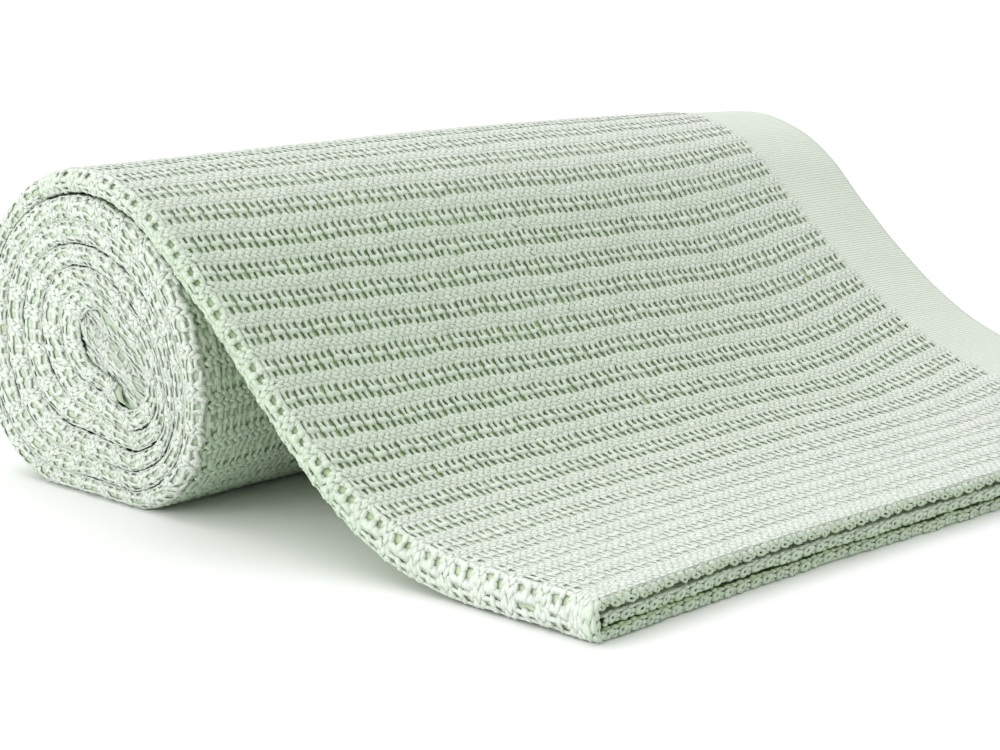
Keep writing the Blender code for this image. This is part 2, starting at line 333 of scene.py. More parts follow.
class Paint:
    """A material and its node tree."""

    def __init__(self, name, roughness, sheen):
        self.material = bpy.data.materials.new(name)
        self.material.use_nodes = True
        self.tree = self.material.node_tree
        self.shader = self.tree.nodes["Principled BSDF"]
        self.shader.inputs["Roughness"].default_value = roughness
        self.shader.inputs["Specular IOR Level"].default_value = 0.2
        self.shader.inputs["Sheen Weight"].default_value = sheen
        self.shader.inputs["Sheen Roughness"].default_value = 0.6

    def add(self, kind, settings, values):
        """A node of a kind: its settings, then its inputs by name or in order. Returns its outputs."""
        node = self.tree.nodes.new(kind)
        for name, setting in settings.items():
            setattr(node, name, setting)
        named = values.items() if isinstance(values, dict) else enumerate(values)
        for name, value in named:
            if isinstance(value, Value):
                self.tree.links.new(value.socket, node.inputs[name])
            else:
                node.inputs[name].default_value = value
        return [Value(self, output) for output in node.outputs if output.enabled]

    def attribute(self, name):
        node = self.add("ShaderNodeAttribute", {"attribute_name": name}, {})
        return next(value for value in node if value.socket.name == "Fac")

    def mix(self, factor, first, second):
        """A colour between two, by a factor."""
        sockets = {0: factor, 6: first, 7: second}
        return self.add("ShaderNodeMix", {"data_type": "RGBA"}, sockets)[0]

    def noise(self, where, scale, detail=2.0):
        return self.add("ShaderNodeTexNoise", {}, {"Vector": where, "Scale": scale, "Detail": detail})[0]

    def feed(self, name, value):
        self.tree.links.new(value.socket, self.shader.inputs[name])

    def bump(self, height, distance, strength=1.0):
        """Feeds the shader's normal from a height between 0 and 1."""
        values = {"Strength": strength, "Distance": distance, "Height": height}
        self.feed("Normal", self.add("ShaderNodeBump", {}, values)[0])


def color(red, green, blue):
    return (red, green, blue, 1.0)


# %% [markdown]
# ### The yarn
#
# The colour runs from a deep olive green low in the weave, which is painted shade, to a pale green on top,
# with soft patches that are greyer. Cells differ in how much painted shade they take, and faces that turn
# down take some of a deeper green as painted shade. Where the cloth is flat and close, and towards the
# border, its yarn is painted paler, as light. The bump is the yarn's own twist and stray fibres.

# %% Yarn, under cloth and plain border
DOWNWARD_SHADE = 0.30        # how much of the deeper green a face takes as it turns down: painted shade


def yarn_finish(name, deep, under, low, high, patch, pale):
    # deep and under are painted shade, low in the weave and on faces that turn down; pale is painted light.
    paint = Paint(name, roughness=0.95, sheen=0.25)
    place = paint.add("ShaderNodeUVMap", {"uv_map": "cloth"}, {})[0]
    depth = paint.attribute("depth")
    near = paint.mix(paint.noise(place, 38.0), color(*low), color(*high))
    near = paint.mix(paint.noise(place, 210.0) * 0.7, near, color(*patch))
    up = paint.add("ShaderNodeSeparateXYZ", {}, (paint.add("ShaderNodeNewGeometry", {}, {})[1],))[2]
    # Faces that turn down take the under green: painted shade.
    near = paint.mix((1.0 - up) * DOWNWARD_SHADE, near, color(*under))
    # The pale attribute makes the yarn paler: painted light.
    near = paint.mix(paint.attribute("pale"), near, color(*pale))
    # The depth attribute gives the painted shade low in the weave, more in some cells than others.
    varied = depth * (paint.noise(place, 150.0) * 1.2 + 0.4)
    paint.feed("Base Color", paint.mix(varied, near, color(*deep)))
    twist = paint.add("ShaderNodeTexNoise", {}, {"Vector": place, "Scale": 620.0, "Detail": 4.0,
                                                 "Roughness": 0.65})[0]
    paint.bump(twist, 0.0012, 1.0)
    return paint.material


BORDER_THREAD = 0.0016  # from one raised line of the border to the next


def border_finish():
    """A close plain weave: threads across it make fine raised lines, and those along it finer ones."""
    paint = Paint("plain_weave", roughness=0.9, sheen=0.2)
    place = paint.add("ShaderNodeUVMap", {"uv_map": "cloth"}, {})[0]
    wobble = paint.noise(place, 90.0) * 0.0012
    split = paint.add("ShaderNodeSeparateXYZ", {}, (place,))
    lines = ((split[1] + wobble) * (math.tau / BORDER_THREAD)).math("SINE") * 0.5 + 0.5
    cross = ((split[0] + wobble) * (math.tau / BORDER_THREAD)).math("SINE") * 0.5 + 0.5
    height = lines * 0.65 + cross * 0.15 + paint.noise(place, 700.0) * 0.4
    near = paint.mix(paint.noise(place, 45.0), color(0.64, 0.70, 0.605), color(0.68, 0.72, 0.655))
    # The low places between the threads are painted a deeper green, as shade.
    paint.feed("Base Color", paint.mix((1.1 - height) * 0.30, near, color(0.50, 0.58, 0.45)))
    paint.bump(height, 0.0005, 0.9)
    return paint.material


YARN = yarn_finish("cell_yarn", (0.42, 0.57, 0.27), (0.53, 0.76, 0.47), (0.63, 0.725, 0.56),
                   (0.69, 0.755, 0.64), (0.66, 0.685, 0.67), (0.78, 0.815, 0.765))
PLAIN = border_finish()

# %% [markdown]
# ## Making cloth meshes
#
# A sheet starts as a flat grid. A function bends it, Solidify gives it its thickness, and the attributes
# are written while its flat coordinates are still known.

# %% Helpers that finish a mesh
def everywhere(value):
    """The same value at all places of a cloth."""
    return lambda across, along: np.full(len(across), value)


def coordinates(mesh):
    flat = np.zeros(len(mesh.vertices) * 3)
    mesh.vertices.foreach_get("co", flat)
    return flat.reshape(-1, 3)


def write_point_values(mesh, name, values):
    attribute = mesh.attributes.new(name, "FLOAT", "POINT")
    attribute.data.foreach_set("value", np.asarray(values, np.float32))


def write_cloth_map(mesh, across, along):
    """The UV map: each corner's place on the flat cloth, in metres."""
    layer = mesh.uv_layers.new(name="cloth")
    corner = np.zeros(len(mesh.loops), int)
    mesh.loops.foreach_get("vertex_index", corner)
    layer.data.foreach_set("uv", (np.stack((across, along), 1)[corner] * MM).astype(np.float32).ravel())


def to_mesh(name, shape):
    mesh = bpy.data.meshes.new(name)
    shape.to_mesh(mesh)
    shape.free()
    return mesh


def add_object(name, data):
    item = bpy.data.objects.new(name, data)
    bpy.context.scene.collection.objects.link(item)
    return item


def place_mesh(mesh, points):
    """Moves a mesh's points to places in the sizes' own millimetres, and scales them to the frame."""
    mesh.vertices.foreach_set("co", ((points + TO_FRAME) * MM).ravel())
    mesh.update()
    mesh.shade_smooth()


def show(name, mesh, material):
    """An object of a finished mesh, which rides on the one body."""
    mesh.materials.append(material)
    item = add_object(name, mesh)
    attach(item, "root")
    return item


def make_sheet(name, size, steps, bend, depth, thickness, material, spread=None, grow=-1, pale=None):
    """A thin closed sheet of cloth. bend, depth and pale take arrays of places across and along it.

    spread lists where the grid's lines across it go, as parts of its width, if they aren't even. The
    thickness grows away from the face that bend gives: grow is 1 where that face looks the other way.
    """
    shape = bmesh.new()
    bmesh.ops.create_grid(shape, x_segments=steps[0], y_segments=steps[1], size=0.5)
    mesh = to_mesh(name, shape)
    flat = coordinates(mesh)
    across, along = (flat[:, 0] + 0.5) * size[0], (flat[:, 1] + 0.5) * size[1]
    if spread is not None:
        across = np.interp(across / size[0], np.linspace(0, 1, steps[0] + 1), spread) * size[0]
    write_cloth_map(mesh, across, along)
    write_point_values(mesh, "depth", depth(across, along))
    write_point_values(mesh, "pale", pale(across, along) if pale else across * 0)
    place_mesh(mesh, bend(across, along))
    item = show(name, mesh, material)
    solidify = item.modifiers.new("thickness", "SOLIDIFY")
    solidify.thickness = thickness * MM
    solidify.offset = grow
    print(name, "has", len(mesh.polygons) * 4, "triangles")
    return item


# %% [markdown]
# ## The weave's repeat
#
# One repeat is two cells wide and one rib long. Threads cross the two rows of cells and part the cells.
# Between the rows lie short floats, one for each two cells, and the rib is a braid of plump yarn. Each
# bit of yarn is a small ball or cylinder, made by its operator and pressed into shape.

# %% Bits of yarn
CELL_PITCH = 4.065      # from one cell to the next along a row
REPEAT_WIDTH = 2 * CELL_PITCH


def add_puff(shape, centre, size, slant=0.0):
    """A plump bit of yarn: a ball pressed to half sizes and turned by a slant."""
    matrix = (Matrix.Translation(centre) @ Matrix.Rotation(math.radians(slant), 4, "Z")
              @ Matrix.Diagonal((*size, 1)))
    bmesh.ops.create_uvsphere(shape, u_segments=6, v_segments=3, radius=1.0, matrix=matrix)


def add_thread(shape, x, reach, height, half_width, half_height, dip):
    """A thread along the cloth, from one rib to the next, which dips between them.

    A repeat's threads come before its puffs, so that the newest vertices are the last ones.
    """
    before = len(shape.verts)
    bmesh.ops.create_cone(shape, cap_ends=True, segments=5, radius1=1.0, radius2=1.0, depth=2 * reach,
                          matrix=Matrix.Rotation(math.pi / 2, 4, "X"))
    shape.verts.ensure_lookup_table()
    long_edges = {edge for vert in shape.verts[before:] for edge in vert.link_edges
                  if abs(edge.verts[0].co.y - edge.verts[1].co.y) > reach}
    bmesh.ops.subdivide_edges(shape, edges=list(long_edges), cuts=2, use_grid_fill=True)
    shape.verts.ensure_lookup_table()
    for vert in shape.verts[before:]:
        part = vert.co.y / reach
        vert.co.x = x + vert.co.x * half_width * (0.9 + 0.25 * part * part)
        vert.co.z = height + vert.co.z * half_height - dip * (1 - part * part)


# Each row of a rib: its place from the rib's middle, its height, and its strokes' slant
RIB_ROWS = ((-2.9, -0.75, 24), (-0.95, -0.5, -24), (0.95, -0.5, 24), (2.9, -0.75, -24))


def add_rib(shape, column, middle):
    """One column of a rib: four short strokes of yarn, which lie as two rows of chevrons."""
    for row, (y, height, slant) in enumerate(RIB_ROWS):
        x = (column + 0.5 + 0.3 * (row % 2)) * CELL_PITCH
        half_width = 1.75 if row in (0, 3) else 1.4
        add_puff(shape, (x, middle + y, height), (2.9, half_width, 0.95), slant)


def cell_repeat():
    """The weave in the middle of the cloth."""
    shape = bmesh.new()
    for x in (CELL_PITCH / 2 + 0.15, CELL_PITCH * 1.5 - 0.15):
        add_thread(shape, x, 6.2, -0.75, 1.1, 0.75, 0.15)
    for column in (0, 1):
        add_rib(shape, column, RIB_PITCH / 2)
    for side in (-1, 1):
        add_puff(shape, (CELL_PITCH + 1.5 * side, -0.15 * side, -0.6), (2.6, 2.0, 1.0), 4)
    return shape


def oval_repeat():
    """The weave beside the fold: each row of cells has one oval hole, between thick threads."""
    shape = bmesh.new()
    for x in (0.9, REPEAT_WIDTH - 0.9):
        add_thread(shape, x, 6.2, -0.75, 1.85, 0.8, 0.05)
    for column in (0, 1):
        add_rib(shape, column, RIB_PITCH / 2)
        add_puff(shape, ((column + 0.5) * CELL_PITCH, 0, -0.55), (2.9, 2.0, 1.1), 16 - 30 * column)
    return shape


def rib_repeat():
    """Only a rib, for the first and last rows of the loose end."""
    shape = bmesh.new()
    for column in (0, 1):
        add_rib(shape, column, 0)
    return shape


# %% [markdown]
# ## Arraying the repeat
#
# Two Array modifiers lay the repeat out as a flat cloth of rows and columns. The result becomes a mesh
# of its own, is nudged so that no two cells are quite alike, and is bent onto the blanket.

# %% Lay out, loosen and bend
def lay_out(shape, columns, rows, pitch):
    """The repeat in columns and rows, as one flat mesh."""
    mesh = to_mesh("repeat", shape)
    item = add_object("repeat", mesh)
    for count, offset in ((columns, (pitch[0], 0, 0)), (rows, (0, pitch[1], 0))):
        array = item.modifiers.new("array", "ARRAY")
        array.count = count
        array.use_relative_offset = False
        array.use_constant_offset = True
        array.constant_offset_displace = offset
    view = bpy.context.evaluated_depsgraph_get()
    laid = bpy.data.meshes.new_from_object(item.evaluated_get(view))
    bpy.data.objects.remove(item)
    bpy.data.meshes.remove(mesh)
    return laid


def uneven(across, along, spacing, seed):
    """A smooth random field between -1 and 1, with a random value each few mm."""
    size = 256
    table = np.random.default_rng(seed).uniform(-1, 1, (size, size))
    u, v = np.mod(across / spacing, size), np.mod(along / spacing, size)
    i, j = u.astype(int) % size, v.astype(int) % size
    s, t = u - np.floor(u), v - np.floor(v)
    s, t = s * s * (3 - 2 * s), t * t * (3 - 2 * t)
    return between(table, (i, (i + 1) % size), (j, (j + 1) % size), s, t)


# For each axis, how far points stray and over what spacing, from thread to thread and over a few cells
STRAY = (((0.65, 2.7), (0.5, 7.5)), ((0.55, 2.7), (0.7, 9.0)), ((0.35, 2.3), (0.25, 11.0)))


def loosen(flat, amount, seed):
    """Moves a laid-out weave's points so that threads wander and no two cells are alike."""
    loose = flat.copy()
    for axis, ((near, spacing), (far, far_spacing)) in enumerate(STRAY):
        loose[:, axis] += amount * (near * uneven(flat[:, 0], flat[:, 1], spacing, seed + 2 * axis)
                                    + far * uneven(flat[:, 0], flat[:, 1], far_spacing, seed + 2 * axis + 1))
    return loose


DEEP_FROM, DEEP_OVER = 0.9, 1.2     # the heights under the cloth's face over which yarn takes the painted shade
DEEPEST_SHADE = 0.6           # how much painted shade the lowest yarn takes
PAINTED_PALE = 0.9              # how much paler yarn that has lost all its relief is painted, as light


def make_weave(name, repeat, columns, rows, pitch, bend, seed, amount=1.0, keep=None, pale=None):
    """A piece of weave. bend takes places across and along, and a height over the cloth's face.

    keep says how much of its relief and painted shade the weave keeps at a place, and pale how much painted
    light pales it.
    """
    mesh = lay_out(repeat, columns, rows, pitch)
    flat = coordinates(mesh)
    loose = loosen(flat, amount, seed)
    write_cloth_map(mesh, flat[:, 0], flat[:, 1] + flat[:, 2] * 0.7)
    kept = keep(loose[:, 0], loose[:, 1]) if keep else np.ones(len(loose))
    # Yarn low in the weave is painted deep green, as shade; where its relief is lost it is painted paler, as
    # light.
    depth = np.clip((-loose[:, 2] - DEEP_FROM) / DEEP_OVER, 0, 1)
    write_point_values(mesh, "depth", depth * kept * DEEPEST_SHADE)
    write_point_values(mesh, "pale", pale(loose[:, 0], loose[:, 1]) if pale else (1 - kept) * PAINTED_PALE)
    loose[:, 2] *= kept
    place_mesh(mesh, bend(loose[:, 0], loose[:, 1], loose[:, 2]))
    mesh.calc_loop_triangles()
    print(name, "has", len(mesh.loop_triangles), "triangles")
    return show(name, mesh, YARN)


# %% [markdown]
# ## The loose end
#
# Under the weave lies one thin sheet, folded as the blanket is. It is painted deep green, as shade, where it
# shows in the cells, and paler under the ribs.

# %% The folded sheet
UNDER = 1.95            # how far under the outer face the sheet lies in a row of cells
RIB_RELIEF = 1.4        # how much higher it lies under a rib
SHEET = 1.1             # the sheet's thickness
FOLD_SEAM = -8.6        # where on the fold the ovals begin, from the line where the fold begins


def cell_rows(rows):
    """1 in the middle of a row of cells and 0 under a rib, at places counted in ribs."""
    away = np.abs(rows - np.round(rows))
    return np.clip((0.42 - away) / 0.12, 0, 1)


UNDER_RIBS, IN_CELLS = 0.06, 0.84   # how much painted shade the sheet takes under ribs, and how much more in cells
HIDDEN_SHADE = 0.5      # the painted shade where it lies under other layers

folded_width = sum(fold_widths(UNDER))
fold_ends = np.concatenate(((0,), np.cumsum(fold_widths(UNDER)))) / folded_width
FOLD_STEPS = (64, 9, 46, 9, 20)
fold_lines = np.concatenate([np.linspace(*fold_ends[i:i + 2], count, endpoint=False)
                             for i, count in enumerate(FOLD_STEPS)] + [(1.0,)])


def open_rows(across, rows):
    """cell_rows, but 0 on the hidden layers, which have no cells."""
    top, left, *_ = fold_widths(UNDER)
    return cell_rows(rows) * np.clip((top + left + 3 - across) / 3, 0, 1)


def from_fold(across):
    """0 at the left fold and 1 at the border."""
    return np.clip((TOP_WIDTH - across) / TOP_WIDTH, 0, 1)


def painted_paleness(across, part):
    """How much paler the yarn is painted, as light: more so towards the border, and where it has lost its
    relief.
    """
    return np.clip((1 - flat_relief(across, part)) * PAINTED_PALE + 0.25 * from_fold(across) ** 2, 0, 1)


# The share of its relief that the cloth loses on the roll and at the front, and the parts of the way
# between which it goes. On the right it loses a share within some mm of the border.
ON_ROLL, IN_FRONT, ON_RIGHT = (0.62, 0.30, 0.13), (0.80, 0.55, 0.86), (0.22, 260)
FOLD_RELIEF = 0.8       # the share of all that loss that comes back over the left fold


def flat_relief(across, part):
    """The relief left where the cloth lies smooth: on the roll, at the front, a little to the right."""
    by_place = (1 - ON_ROLL[0] * step(part, *ON_ROLL[1:])) * (1 - IN_FRONT[0] * step(part, *IN_FRONT[1:]))
    return by_place * (1 - ON_RIGHT[0] * np.clip(1 - across / ON_RIGHT[1], 0, 1))


def relief(across, part):
    """How much of its relief the cloth keeps: flat_relief, and more where it turns over the left fold."""
    on_fold = np.clip((across - TOP_WIDTH + 3) / 4, 0, 1)
    flat = flat_relief(across, part)
    return flat + FOLD_RELIEF * (1 - flat) * on_fold


def folded_shade(across, along):
    """The sheet is painted deep green as shade in the rows of cells, and evenly where it lies under other
    layers.
    """
    top, left, *_ = fold_widths(UNDER)
    # The painted shade is lighter towards the border and over the left fold.
    fading = 1.0 - 0.22 * from_fold(across) - 0.35 * np.clip((across - top + 2) / 3, 0, 1)
    shown = UNDER_RIBS + IN_CELLS * open_rows(across, along * RIBS) * relief(across, along) * fading
    return np.where(across > top + left, HIDDEN_SHADE, shown)


def bend_folded(across, along):
    under_cells = UNDER - (1 - open_rows(across, along * RIBS)) * RIB_RELIEF
    raised = UNDER - under_cells * relief(across, along)
    return folded_point(across, along, UNDER, raised, firm=1.0)


loose_cloth = make_sheet("loose_cloth", (folded_width, 1.0), (sum(FOLD_STEPS), RIBS * 6), bend_folded,
                         folded_shade, SHEET, YARN, fold_lines, pale=painted_paleness)
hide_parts("loose_end")

# %% [markdown]
# The weave covers the top layer and runs on round the left fold, where the cells are pulled open into
# ovals. Its places across are counted from the line where the fold begins, and negative ones lie on the
# fold. One more strip goes round the right fold of the lower layers. Single ribs close the weave at both
# of its ends. The underside of the loose end is left as the plain sheet.

# %% Its weave
MAIN_COLUMNS = round((TOP_WIDTH - REPEAT_WIDTH - FOLD_SEAM) / REPEAT_WIDTH)
MAIN_PITCH = (TOP_WIDTH - REPEAT_WIDTH - FOLD_SEAM) / MAIN_COLUMNS


def bend_loose(left, first_row):
    """Bends a weave whose first column starts at left and whose first repeat is first_row ribs on."""
    def bend(across, along, height):
        part = (along / RIB_PITCH + first_row) / RIBS
        return folded_point(TOP_WIDTH - (across + left), part, 0.0, height)
    return bend


def at_weave(field, left, first_row):
    """A field of the folded cloth, read at such a weave's own places."""
    return lambda across, along: field(TOP_WIDTH - left - across, (along / RIB_PITCH + first_row) / RIBS)


half = MAIN_COLUMNS // 2
right_fold = sum(fold_widths(0.0)[:3]) + math.pi * RIGHT_FOLD / 2
MAIN_START, FOLD_START = FOLD_SEAM + REPEAT_WIDTH, FOLD_SEAM - REPEAT_WIDTH
# Each piece's repeat, start, columns, pitch and first row, with the ribs alone in single rows
PIECES = {
    "near": (cell_repeat, MAIN_START, half, MAIN_PITCH, 1),
    "far": (cell_repeat, MAIN_START + half * MAIN_PITCH, MAIN_COLUMNS - half, MAIN_PITCH, 1),
    "edge": (oval_repeat, FOLD_SEAM, 1, REPEAT_WIDTH, 1),
    "fold": (cell_repeat, FOLD_START, 1, REPEAT_WIDTH, 1),
    "right": (cell_repeat, TOP_WIDTH - right_fold - REPEAT_WIDTH / 2, 1, REPEAT_WIDTH, 1),
    "seam": (rib_repeat, FOLD_START, 2, MAIN_PITCH, 0.16),
    "start": (rib_repeat, FOLD_START, MAIN_COLUMNS + 2, MAIN_PITCH, 0.5),
    "front": (rib_repeat, FOLD_START, MAIN_COLUMNS + 2, MAIN_PITCH, RIBS - 0.25),
}
for name, (repeat, start, columns, pitch, row) in PIECES.items():
    rows, seed = (1, 11) if repeat == rib_repeat else (RIBS - 1, 5)
    make_weave(f"loose_weave_{name}", repeat(), columns, rows, (pitch, RIB_PITCH),
                             bend_loose(start, row), seed,
                             keep=at_weave(relief, start, row), pale=at_weave(painted_paleness, start, row))

# %% [markdown]
# The front edge is a selvedge. Each layer ends in a row of soft loops, one for each two cells: a loop is
# a small circle spun into a ring, pressed wider than high and leaning. Puffs of yarn fill the layer's
# edge over and under the loops. On the top layer they make a lip that turns down over the edge.

# %% Selvedge lip and loops
LOOP_RADIUS, LOOP_YARN = 1.2, 0.72
LIP_RELIEF = 0.85       # how much of its relief the lip keeps


def loop_ring(height, lean):
    """One loop, standing upright on the front edge."""
    shape = bmesh.new()
    matrix = Matrix.Translation((LOOP_RADIUS, 0, 0)) @ Matrix.Rotation(math.pi / 2, 4, "X")
    made = bmesh.ops.create_circle(shape, segments=6, radius=LOOP_YARN, matrix=matrix)
    edges = list({edge for vert in made["verts"] for edge in vert.link_edges})
    bmesh.ops.spin(shape, geom=made["verts"] + edges, cent=(0, 0, 0), axis=(0, 0, 1), steps=9,
                   angle=math.tau, use_merge=True)
    bmesh.ops.remove_doubles(shape, verts=shape.verts, dist=0.001)
    bmesh.ops.recalc_face_normals(shape, faces=shape.faces)
    turn = (Matrix.Translation((0, 0.5, height)) @ Matrix.Rotation(math.radians(lean), 4, "Y")
            @ Matrix.Diagonal((1.65, 1.5, 1.0, 1)) @ Matrix.Rotation(math.pi / 2, 4, "X"))
    bmesh.ops.transform(shape, matrix=turn, verts=shape.verts)
    return shape


def edge_repeat(height, lean, puffs):
    """A layer's edge over one loop's width: the loop, and the puffs of yarn about it."""
    shape = loop_ring(height, lean)
    for x, y, z, size, slant in puffs:
        add_puff(shape, (x, y, z), size, slant)
    return shape


LIP_PUFFS = ((0.0, -1.7, 2.2, (2.7, 1.8, 1.0), 12), (4.0, -1.4, 2.2, (2.5, 2.0, 1.0), -8),
             (2.1, 0.4, 1.2, (2.2, 1.4, 1.4), -14), (-2.0, 0.5, 1.3, (2.3, 1.3, 1.3), 10),
             (4.0, 0.3, -0.3, (1.9, 1.1, 1.6), 0), (4.0, 0.0, -2.1, (2.0, 1.0, 0.7), 6))
LOWER_PUFFS = ((0.0, -0.6, 2.0, (2.6, 1.2, 0.8), 8), (4.0, -0.4, 1.7, (2.4, 1.2, 0.9), -10),
               (0.0, -0.6, -2.0, (2.6, 1.2, 0.8), -8), (4.0, -0.4, -1.7, (2.4, 1.2, 0.9), 10),
               (4.0, 0.2, 0.1, (1.6, 1.0, 1.1), 0))
edge_width = sum(fold_widths(CLOTH / 2))
lip_width = sum(fold_widths(CLOTH / 2)[:2])


def bend_edge(left):
    """Bends along the front edge: along runs forward from it, and height across the layer's thickness."""
    def bend(across, along, height):
        part = 1 + along / float(PATH_LENGTH.mean())
        return folded_point(across + left, part, CLOTH / 2, height)
    return bend


lip = make_weave("selvedge_lip", edge_repeat(-1.2, -24, LIP_PUFFS),
                 round(lip_width / REPEAT_WIDTH), 1, (REPEAT_WIDTH, 1.0), bend_edge(0),
                 21, amount=1.1, keep=everywhere(LIP_RELIEF))
loop_count = int((edge_width - lip_width) / REPEAT_WIDTH)
loops = make_weave("selvedge_loops", edge_repeat(0.0, 22, LOWER_PUFFS), loop_count, 1, (REPEAT_WIDTH, 1.0),
                   bend_edge(edge_width + 2 - loop_count * REPEAT_WIDTH), 22, amount=1.1)

# %% [markdown]
# ## The roll
#
# The outermost turn is a sheet wrapped once round. Its rows carry on from the loose end's, so they are
# counted backwards from the line where the loose end begins.

# %% Places on the roll
RIM = 7.0               # how far in from its end the roll begins to round over
TURN_WINDS = np.linspace(-30, 360 * (TURNS + 1), 2600)


def along_wind(x_place, inward):
    """Distances along the spiral at the table of winds, a part of a turn inward of the outer face."""
    y0, z0 = wound(np.full(len(TURN_WINDS), x_place), TURN_WINDS)
    y1, z1 = wound(np.full(len(TURN_WINDS), x_place), TURN_WINDS + 360)
    y, z = y0 + (y1 - y0) * inward, z0 + (z1 - z0) * inward
    steps = np.hypot(np.diff(y), np.diff(z))
    distance = np.concatenate(((0,), np.cumsum(steps)))
    return distance - np.interp(0, TURN_WINDS, distance)


WALL_DISTANCE = along_wind(LENGTH / 2, 0.0)


def roll_point(x, distance, lift):
    """Places on the roll's outer turn, at a distance behind the loose end's start."""
    wind = np.interp(distance, WALL_DISTANCE, TURN_WINDS)
    y, z = wound(x, wind)
    y_on, z_on = wound(x, wind + 0.5)
    run = np.hypot(y_on - y, z_on - z)
    out_y, out_z = -(z_on - z) / run, (y_on - y) / run
    return np.stack((x, y + out_y * lift, np.maximum(z + out_z * lift, ABOVE_FLOOR)), 1)


WALL_LENGTH = float(np.interp(360, TURN_WINDS, WALL_DISTANCE))
ROLL_RIB = 17.0         # the rib pitch on the roll
WALL_ROWS = WALL_LENGTH / ROLL_RIB
HIDDEN_FROM = 300.0     # the wind past which the loose end covers the roll


def bend_roll(across, along):
    height = RIB_RELIEF * (1 - cell_rows(along * WALL_ROWS)) - UNDER
    return roll_point(RIM + across, along * WALL_LENGTH, height)


CELLS_END = LENGTH - BORDER
# The roll's sheet is painted deep green, as shade, in its rows of cells.
roll_cloth = make_sheet("roll_cloth", (CELLS_END - RIM, 1.0), (40, int(WALL_ROWS * 6)), bend_roll,
                        lambda across, along: UNDER_RIBS + IN_CELLS * cell_rows(along * WALL_ROWS),
                        SHEET, YARN)
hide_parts("roll")
roll_border = make_sheet("roll_border", (BORDER - RIM, WALL_LENGTH), (8, 180),
                         lambda across, along: roll_point(CELLS_END + across, along, -0.75),
                         everywhere(0.0), BORDER_CLOTH, PLAIN)


def bend_wall(left, last_row):
    """Bends a weave onto the roll, so that its first row is the last one of the roll's that it covers."""
    def bend(across, along, height):
        return roll_point(across + left, (last_row - along / RIB_PITCH) * ROLL_RIB, height)
    return bend


def rows_between(first_wind, last_wind):
    """The first row of cells and the number of rows between two winds of the roll's outer turn."""
    first, last = np.interp((first_wind, last_wind), TURN_WINDS, WALL_DISTANCE) / ROLL_RIB
    return int(first), int(last) - int(first) + 1


roll_columns = round((CELLS_END - RIM) / REPEAT_WIDTH) - 1
half = roll_columns // 2
for place, winds in (("back", (0, 132)), ("front", (196, HIDDEN_FROM))):
    first_row, rows = rows_between(*winds)
    parts = (("edge", oval_repeat, 0, 1), ("near", cell_repeat, 1, half),
             ("far", cell_repeat, 1 + half, roll_columns - half))
    for part, repeat, start, columns in parts:
        wall = bend_wall(RIM + start * REPEAT_WIDTH, first_row + rows - 0.5)
        make_weave(f"roll_{place}_{part}", repeat(), columns, rows, (REPEAT_WIDTH, RIB_PITCH),
                                 wall, 5)

# %% [markdown]
# ## The roll's ends
#
# Each turn ends in a fold, so the end of the roll is one long rounded ridge that winds inwards. A strip
# is bent into it, wall to wall, and the fold's weave follows it.

# %% The ridges
GROOVE = 2.4            # about how far in the grooves between ridges lie
GROOVE_VARIES, GROOVE_LEAST = 2.2, 1.2
END_RELIEF = 0.46       # how much of its relief the weave keeps on the roll's ends
END_PAINTED_PALE = 0.7          # how much paler the yarn is painted there, as light
END_SHADE = 0.2         # how much painted shade the cloth under it takes
END_LOOSE = 1.9         # how far its threads wander, where 1 is usual
RIDGE_ACROSS = 2 * REPEAT_WIDTH
CORE_RADIUS = 25.0      # the spiral's radius where the ridges give way to the lobe at its heart
HEART = (-18.0, 7.0)    # the heart of the roll lies nearer the front and higher than its middle


def core_wind(x_end):
    """The wind at which the spiral comes in to the lobe."""
    return 360 * (float(section(x_end / LENGTH)["half_width"][0]) - CORE_RADIUS) / TURN - START


def end_spiral(x, wind):
    """(y, z) of the spiral as it shows on the roll's end, where its inner turns crowd to the front."""
    y, z = wound(x, wind)
    moved = step(wind, 250, 2500)
    return np.stack((y + HEART[0] * moved, z + HEART[1] * moved), 1)


def groove_depth(wind):
    """The grooves are deep in places and nearly closed in others."""
    varied = GROOVE + GROOVE_VARIES * waves(wind, wind * 0, 37, (65.0, 110.0, 410.0))
    return np.maximum(varied, GROOVE_LEAST)


def ridge_bend(far):
    """Bends places across a ridge (outer to inner) and along the spiral onto one end of the roll."""
    x_end = LENGTH if far else 0.0
    distance_table = along_wind(x_end, 0.5)

    def bend(across, along, height):
        wind = np.interp(along, distance_table, TURN_WINDS)
        x = np.full(len(wind), x_end)
        outer = end_spiral(x, wind)
        inner = end_spiral(x, wind + 360)
        gap = np.maximum(np.linalg.norm(inner - outer, axis=1), 0.5)
        inwards = (inner - outer) / gap[:, None]
        angle = math.pi * np.clip(across / RIDGE_ACROSS, 0, 1)
        crest = 0.2 + 0.8 * waves(along, along * 0, 31, (23.0, 37.0, 61.0, 97.0))
        first = np.clip((360 - wind) / 60, 0, 1)
        outer_groove = groove_depth(wind) * (1 - first) + RIM * first
        groove = np.where(angle < math.pi / 2, outer_groove, groove_depth(wind + 360))
        rise = groove - crest
        out_x, out_r = gap / 2 * np.sin(angle), rise * np.cos(angle)
        size = np.hypot(out_x, out_r)
        x = groove - rise * np.sin(angle) - out_x / size * height
        inward = gap / 2 * (1 - np.cos(angle)) - out_r / size * height
        place = outer + inwards * inward[:, None]
        z = np.maximum(place[:, 1], ABOVE_FLOOR)
        return np.stack((LENGTH - x if far else x, place[:, 0], z), 1)
    return bend


